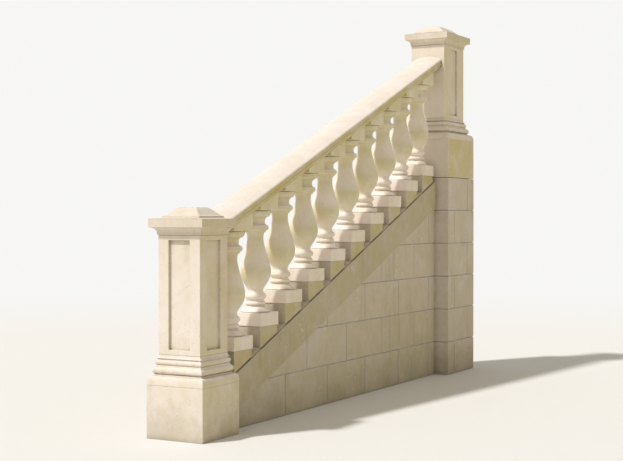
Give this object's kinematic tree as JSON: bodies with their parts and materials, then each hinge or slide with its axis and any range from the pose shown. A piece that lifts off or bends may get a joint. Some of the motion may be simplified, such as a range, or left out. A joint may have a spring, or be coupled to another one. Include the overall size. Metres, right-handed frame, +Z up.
{
  "type": "stone balustrade",
  "caption": "Raking stone balustrade for an outdoor stair: panelled newel, turned vase balusters on stepped blocks, moulded rail and end pier.",
  "frame": {"origin": "on the ground, at the middle of the footprint, on the centre line of the rail", "axes": "+X across the balustrade towards the side that faces the steps, +Y level along it up the stair, +Z up"},
  "size_m": [0.382, 3.6886, 2.5656],
  "materials": {
    "turned_stone": "smooth turned limestone, weathered",
    "block_stone": "sawn limestone, weathered",
    "rail_stone": "smooth moulded limestone, bleached on top",
    "string_stone": "sawn limestone, weathered",
    "wall_stone": "fine ashlar of limestone with lime joints",
    "cap_stone": "smooth moulded limestone, weathered",
    "pier_stone": "smooth sawn limestone, weathered"
  },
  "bodies": {
    "root": {"newel_plinth": "pier_stone", "newel_base": "pier_stone", "newel_shaft": "pier_stone", "newel_cap": "cap_stone", "baluster_01": "turned_stone", "baluster_02": "turned_stone", "baluster_03": "turned_stone", "baluster_04": "turned_stone", "baluster_05": "turned_stone", "baluster_06": "turned_stone", "baluster_07": "turned_stone", "baluster_08": "turned_stone", "baluster_09": "turned_stone", "baluster_10": "turned_stone", "block_01": "block_stone", "block_02": "block_stone", "block_03": "block_stone", "block_04": "block_stone", "block_05": "block_stone", "block_06": "block_stone", "block_07": "block_stone", "block_08": "block_stone", "block_09": "block_stone", "block_10": "block_stone", "rail_lower": "rail_stone", "rail_middle": "rail_stone", "rail_upper": "rail_stone", "string_lower": "string_stone", "string_upper": "string_stone", "stair_wall": "wall_stone", "pier_footing": "wall_stone", "pier_plinth": "pier_stone", "pier_base": "pier_stone", "pier_shaft": "pier_stone", "pier_cap": "cap_stone"}
  },
  "joints": []
}
